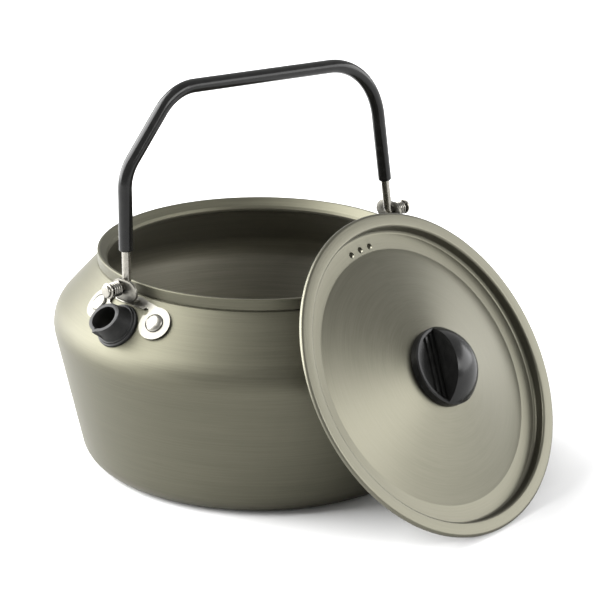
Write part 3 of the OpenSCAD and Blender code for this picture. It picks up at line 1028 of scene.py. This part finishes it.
@dataclass
class Bail:
    """The wire bail with its grip sleeve, pin springs and end washers."""

    form: Form = FORM
    wire_r: float = 1.7
    sleeve_r: float = 2.7
    front_bend: float = 44.1
    front_rise: float = 72.4
    rear_rise: float = 65.6
    sleeve_rise: float = 14.0
    gap: float = 0.3
    spring_len: float = 5.2
    washer_t: float = 0.8
    washer_r: float = 3.1
    spring_r: float = 0.42
    turns: float = 4.5
    steel: BrightSteel = BrightSteel("bail_wire_steel", (0.28, 0.268, 0.238), (0.2, 0.192, 0.17), 0.28)
    spring: BrightSteel = BrightSteel("spring_steel_bright", (0.26, 0.25, 0.225), (0.16, 0.154, 0.138), 0.28)
    plastic: DarkPolymer = DarkPolymer(
        "sleeve_gloss", (0.004, 0.004, 0.0038), (0.007, 0.007, 0.0066), 0.17, 0.003
    )

    head_r: float = 2.45
    head_h: float = 1.0
    bends: Triple = (16.0, 20.0, 30.0)
    front_share: float = 0.637
    rear_share: float = 0.852

    @property
    def pin_reach(self) -> float:
        """Length of a pin past the wire's foot."""
        return self.form.sheet + 2 * self.gap + self.spring_len + self.washer_t

    def corners(self) -> list[Point]:
        """Inner corners of the route: front bend, front end and rear end of the grip."""
        f = self.form
        return [
            (f.front_leg, f.pivot_z + self.front_bend),
            (f.front_leg * self.front_share, f.pivot_z + self.front_rise),
            (-f.rear_leg * self.rear_share, f.pivot_z + self.rear_rise),
        ]

    @property
    def ends(self) -> Point:
        """Ends of the front and the rear pin on X."""
        past = self.form.foot_bend + self.pin_reach
        return self.form.front_leg + past, -self.form.rear_leg - past

    def wire(self) -> None:
        """Bends the wire and upsets its two ends."""
        f, z = self.form, self.form.pivot_z
        front, rear = self.ends
        route = [(front, z), (f.front_leg, z), *self.corners(), (-f.rear_leg, z), (rear, z)]
        wire = Bench.tube("bail_wire_bent", route, [f.foot_bend, *self.bends, f.foot_bend], self.wire_r)
        r, h = self.head_r, self.head_h
        head = rounded([(0, 0, 0), (r, 0, 0.3), (r, h, 0.45), (0, h, 0)], 4, closed=False)
        cap = Bench.lathe("pin_head", head, steps=40)
        for x, way in ((front - 0.02, 1), (rear + 0.02, -1)):
            tool = Bench.copy(cap, "pin_head_copy", shift(x, 0, z) @ turned(way * 90, "Y"))
            Bench.combine(wire, tool, "UNION")
        bpy.data.objects.remove(cap, do_unlink=True)
        Bench.tidy(wire)
        dress(wire, self.steel.make())
        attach(wire, "bail")
        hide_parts("bail_wire")
        log.info("bail: wire")

    def sleeve(self) -> None:
        """Makes the sleeve that covers the bail's upper part."""
        f = self.form
        z = f.pivot_z + self.sleeve_rise
        corners = self.corners()
        lean = (corners[-1][0] + f.rear_leg) / self.rear_rise
        route = [(f.front_leg, z), *corners, (-f.rear_leg + lean * self.sleeve_rise, z)]
        sleeve = Bench.tube("bail_sleeve_grip", route, self.bends, self.sleeve_r, 48)
        Bench.bevel(sleeve, 0.5, 3, 60)
        dress(sleeve, self.plastic.make())
        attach(sleeve, "bail")
        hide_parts("bail_sleeve")
        log.info("bail: sleeve")

    def coil(self, name: str, node: str, x: float) -> None:
        """Winds one pin spring from x along +X.

        Args:
            name: Name of the piece.
            node: Frame node that it replaces.
            x: Where the spring begins.
        """
        coil_r = self.wire_r + 0.35 + self.spring_r
        Bench.clear()
        bpy.ops.mesh.primitive_circle_add(
            vertices=12,
            radius=self.spring_r * MM,
            location=((x + self.spring_r) * MM, 0, (self.form.pivot_z + coil_r) * MM),
            rotation=(math.pi / 2, 0, 0),
        )
        piece = Bench.named(name)
        bpy.ops.object.transform_apply()
        for vertex in piece.data.vertices:
            vertex.co.z -= self.form.pivot_z * MM
        Bench.modify(
            piece,
            "SCREW",
            axis="X",
            angle=math.tau * self.turns,
            screw_offset=(self.spring_len - 2 * self.spring_r) * MM,
            steps=int(28 * self.turns),
            render_steps=int(28 * self.turns),
        )
        Bench.place(piece, shift(0, 0, self.form.pivot_z))
        Bench.only(piece)
        bpy.ops.object.mode_set(mode="EDIT")
        bpy.ops.mesh.select_all(action="DESELECT")
        bpy.ops.mesh.select_non_manifold()
        bpy.ops.mesh.edge_face_add()
        bpy.ops.object.mode_set(mode="OBJECT")
        Bench.tidy(piece, 50)
        dress(piece, self.spring.make())
        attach(piece, "bail")
        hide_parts(node)
        log.info("bail: %s", name)

    def washer(self, name: str, node: str, x: float, way: int) -> None:
        """Turns the dished washer that closes a pin.

        Args:
            name: Name of the piece.
            node: Frame node that it replaces.
            x: Where its inner face is.
            way: 1 if it faces +X, -1 if it faces -X.
        """
        t, bore = self.washer_t - 0.02, self.wire_r + 0.02
        outline = rounded(
            [
                (bore, 0, 0.1),
                (self.washer_r, 0, 0.2),
                (self.washer_r, t * 0.75, 0.2),
                (bore + 0.5, t, 0.15),
                (bore, t, 0.1),
            ],
            3,
        )
        piece = Bench.lathe(name, outline, steps=48)
        Bench.place(piece, shift(x, 0, self.form.pivot_z) @ turned(way * 90, "Y"))
        dress(piece, self.steel.make())
        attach(piece, "bail")
        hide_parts(node)
        log.info("bail: %s", name)

    def build(self) -> None:
        """Builds all of the bail's pieces."""
        self.wire()
        self.sleeve()
        f = self.form
        past = f.foot_bend + f.sheet + self.gap
        self.coil("front_pin_spring", "front_spring", f.front_leg + past)
        self.coil("rear_pin_spring", "rear_spring", -f.rear_leg - past - self.spring_len)
        front, rear = self.ends
        self.washer("front_washer_dished", "front_pin_washer", front - self.washer_t, 1)
        self.washer("rear_washer_dished", "rear_pin_washer", rear + self.washer_t, -1)


# ---------- lid ----------


@dataclass
class Lid:
    """The leaning lid with its knob."""

    form: Form = FORM
    radius: float = 64.1
    sheet: float = 0.9
    edge_h: float = 1.6
    sink: float = 4.8
    ring_w: float = 7.4
    rise: float = 4.2
    fit: float = 0.45
    tilt: float = 33.3
    around: float = 96.4
    gap: float = 0.3
    knob_r: float = 15.3
    knob_h: float = 13.0
    skirt_h: float = 3.9
    wall_x: float = 3.5
    knob_turn: float = -107.3
    steam_r: float = 1.25
    steam_at: float = 184.0
    steam_step: float = 6.0
    screw_hole_r: float = 1.9

    @property
    def plug_r(self) -> float:
        """Outside radius of the plug wall."""
        return self.form.collar_r - self.form.lip_reach - self.fit

    @property
    def ring_r(self) -> float:
        """Radius where the sunk ring meets the dome."""
        return self.plug_r - self.sheet - self.ring_w

    @property
    def boss_r(self) -> float:
        """Radius of the flat boss under the knob."""
        return self.knob_r - 1.4

    @property
    def leaning(self) -> Matrix:
        """Frame of the leaning lid, Z out of its face, in metres."""
        t = math.radians(self.tilt)
        slope = (self.rise + self.sink) / (self.ring_r - self.boss_r)
        z = self.radius * math.cos(t) + self.edge_h * math.sin(t) + 0.02
        mr, mz = math.cos(t) - slope * math.sin(t), math.sin(t) + slope * math.cos(t)
        under = slope * self.ring_r - self.sink - (self.sheet + self.gap) * math.sqrt(1 + slope * slope)
        r = self.form.collar_r - (under - (self.form.height - z) * mz) / mr
        return (
            turned(self.around, "Z")
            @ shift(r, 0, z)
            @ Matrix.Rotation(math.pi / 2 - t, 4, "Y")
        )

    def plate(self) -> None:
        """Spins the plate, drills its steam holes and leans it on the pot."""
        s, p, ring, boss = self.sheet, self.plug_r, self.ring_r, self.boss_r
        down = Vector((ring - boss, -(self.sink + self.rise))).normalized()
        under = Vector((down.y, -down.x)) * s
        path = [
            (0, self.rise, 0),
            (boss, self.rise, 2.5),
            (ring, -self.sink, 2.2),
            (p - s, -self.sink, 1.3),
            (p - s, 0, 1.0),
            (self.radius, 0, 1.1),
            (self.radius, -self.edge_h, 0.25),
            (self.radius - s, -self.edge_h, 0.25),
            (self.radius - s, -s, 0.35),
            (p, -s, 0.6),
            (p, -self.sink - s, 1.6),
            (ring + under.x * 1.3, -self.sink - s, 2.2),
            (boss + under.x * 0.8, self.rise - s, 2.5),
            (0, self.rise - s, 0),
        ]
        outline = divided(rounded(path, steps=7, closed=False), 8.0)
        plate = Bench.lathe("lid_plate_spun", outline, steps=224)
        at = ring + 2.2
        for k in (-1, 0, 1):
            a = math.radians(self.steam_at + self.steam_step * k)
            Bench.combine(plate, Bench.rod(self.steam_r, -9, 2, 40, (at * math.cos(a), at * math.sin(a))))
        Bench.combine(plate, Bench.rod(self.screw_hole_r, -9, 9, 40))
        Bench.tidy(plate)
        where = self.leaning
        Bench.place(plate, where)
        finish = SpunAlloy("lid_anodised", (0.093, 0.0898, 0.0682), (0.107, 0.1032, 0.0795), 0.37, 0.0017, where)
        dress(plate, finish.make())
        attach(plate, "lid")
        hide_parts("lid_plate")
        log.info("lid: plate")

    def knob(self) -> None:
        """Turns the knob's dome and cuts its thumb recess with grip ribs."""
        cap_r, cap_h = self.knob_r - 0.4, self.knob_h - self.skirt_h
        ball = (cap_r * cap_r + cap_h * cap_h) / (2 * cap_h)
        dome = []
        full = math.asin(min(1.0, cap_r / ball)) if ball >= cap_r else math.pi / 2
        for k in range(1, 23):
            t = full * (1 - k / 22)
            dome.append((ball * math.sin(t), self.knob_h - ball + ball * math.cos(t)))
        skirt = [(0, 0), (self.knob_r - 0.5, 0), (self.knob_r, 0.5), (self.knob_r, self.skirt_h - 0.5)]
        outline = [*skirt, (cap_r, self.skirt_h), *dome]
        outline[-1] = (0, self.knob_h)
        knob = Bench.lathe("lid_knob_moulded", outline, steps=160)
        cut = Bench.block((self.wall_x, -40, self.skirt_h), (60, 40, 60))
        Bench.combine(knob, cut)
        well = Bench.rod(cap_r - 0.9, self.skirt_h - 0.7, 40, 128)
        Bench.combine(well, Bench.block((-60, -40, -10), (self.wall_x, 40, 80)))
        Bench.combine(knob, well)
        for x in (self.wall_x + 1.6, self.wall_x + 4.2):
            rib = Bench.rod(cap_r - 1.4, self.skirt_h - 1.2, self.skirt_h + 0.1, 96)
            Bench.combine(rib, Bench.block((x - 60, -40, -10), (x, 40, 80)))
            Bench.combine(rib, Bench.block((x + 0.9, -40, -10), (x + 60, 40, 80)))
            Bench.combine(knob, rib, "UNION")
        Bench.bevel(knob, 0.3, 3, 42)
        Bench.place(knob, self.leaning @ turned(self.knob_turn, "Z") @ shift(0, 0, self.rise + 0.02))
        gloss = DarkPolymer("knob_gloss", (0.004, 0.004, 0.0038), (0.007, 0.007, 0.0066), 0.24, 0.003)
        dress(knob, gloss.make())
        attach(knob, "lid")
        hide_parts("lid_knob")
        log.info("lid: knob")

    def hardware(self) -> None:
        """Dresses the screw, washer and insert that hold the knob."""
        steel = BrightSteel("knob_screw_steel", roughness=0.24).make()
        dress(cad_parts["knob_screw"], steel)
        dress(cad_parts["knob_washer"], steel)
        dress(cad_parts["knob_insert"], TurnedBrass("insert_brass_turned").make())
        log.info("lid: knob hardware")

    def build(self) -> None:
        """Builds the plate, the knob and its hardware."""
        self.plate()
        self.knob()
        self.hardware()


# ---------- studio ----------


@dataclass
class Studio:
    """Pale floor, soft light and the camera."""

    eye: Triple = (600.5, 667.8, 387.0)
    target: Triple = (-11.9, 11.1, 62.2)
    roll: float = -0.006
    lens: float = 144.0
    surround: float = 0.75

    def camera(self) -> None:
        """Adds the camera."""
        Bench.clear()
        data = bpy.data.cameras.new("camera")
        camera = bpy.data.objects.new("camera", data)
        bpy.context.scene.collection.objects.link(camera)
        data.lens, data.sensor_width = self.lens, 36.0
        data.clip_start, data.clip_end = 0.05, 20.0
        eye, target = Vector(self.eye) * MM, Vector(self.target) * MM
        look = (target - eye).to_track_quat("-Z", "Y").to_matrix().to_4x4()
        camera.matrix_world = Matrix.Translation(eye) @ look @ Matrix.Rotation(-self.roll, 4, "Z")
        bpy.context.scene.camera = camera

    def floor(self) -> None:
        """Lays the floor."""
        Bench.clear()
        bpy.ops.mesh.primitive_plane_add(size=6.0, location=(0, 0, 0))
        floor = bpy.context.object
        floor.name = "studio_floor"
        shader = Shader("floor_paper")
        x, y, z = shader.place()
        cloud = shader.noise(shader.vector(x, y, z), 0.004, 2.0)
        colour = shader.blend(cloud, (0.66, 0.66, 0.66), (0.68, 0.68, 0.68))
        shader.paint({"Base Color": colour, "Roughness": cloud * 0.1 + 0.7})
        dress(floor, shader.material)

    def lamp(self, name: str, at: Triple, aim: Triple, size: tuple[float, float], power: float) -> None:
        """Adds a soft rectangular lamp.

        Args:
            name: Its name.
            at: Its place in metres.
            aim: The point it faces.
            size: Width and height in metres.
            power: Power in watts.
        """
        data = bpy.data.lights.new(name, "AREA")
        data.shape, data.size, data.size_y, data.energy = "RECTANGLE", size[0], size[1], power
        lamp = bpy.data.objects.new(name, data)
        bpy.context.scene.collection.objects.link(lamp)
        lamp.matrix_world = (
            Matrix.Translation(at) @ (Vector(aim) - Vector(at)).to_track_quat("-Z", "Y").to_matrix().to_4x4()
        )

    def light(self) -> None:
        """Sets the surround and the lamps."""
        bpy.context.scene.view_settings.view_transform = "Standard"
        world = bpy.data.worlds.new("surround")
        bpy.context.scene.world = world
        world.use_nodes = True
        background = world.node_tree.nodes["Background"]
        background.inputs[0].default_value = (1, 1, 1, 1)
        background.inputs[1].default_value = self.surround
        self.lamp("key_left", (0.74, -0.92, 0.78), (0, 0, 0.06), (1.7, 1.7), 124)
        self.lamp("fill_right", (-0.35, 1.25, 0.66), (0, 0.05, 0.05), (0.8, 0.6), 13)
        self.lamp("strip_back", (-1.15, 0.65, 0.38), (0, 0, 0.05), (1.4, 0.6), 13)

    def build(self) -> None:
        """Sets the whole studio."""
        self.camera()
        self.floor()
        self.light()


def main() -> None:
    """Builds the studio and every sub-assembly."""
    logging.basicConfig(level=logging.INFO, format="%(message)s")
    Studio().build()
    for part in (Pot(), Spout(), Lugs(), Bail(), Lid()):
        part.build()
    Bench.clear()


if __name__ == "__main__":
    main()
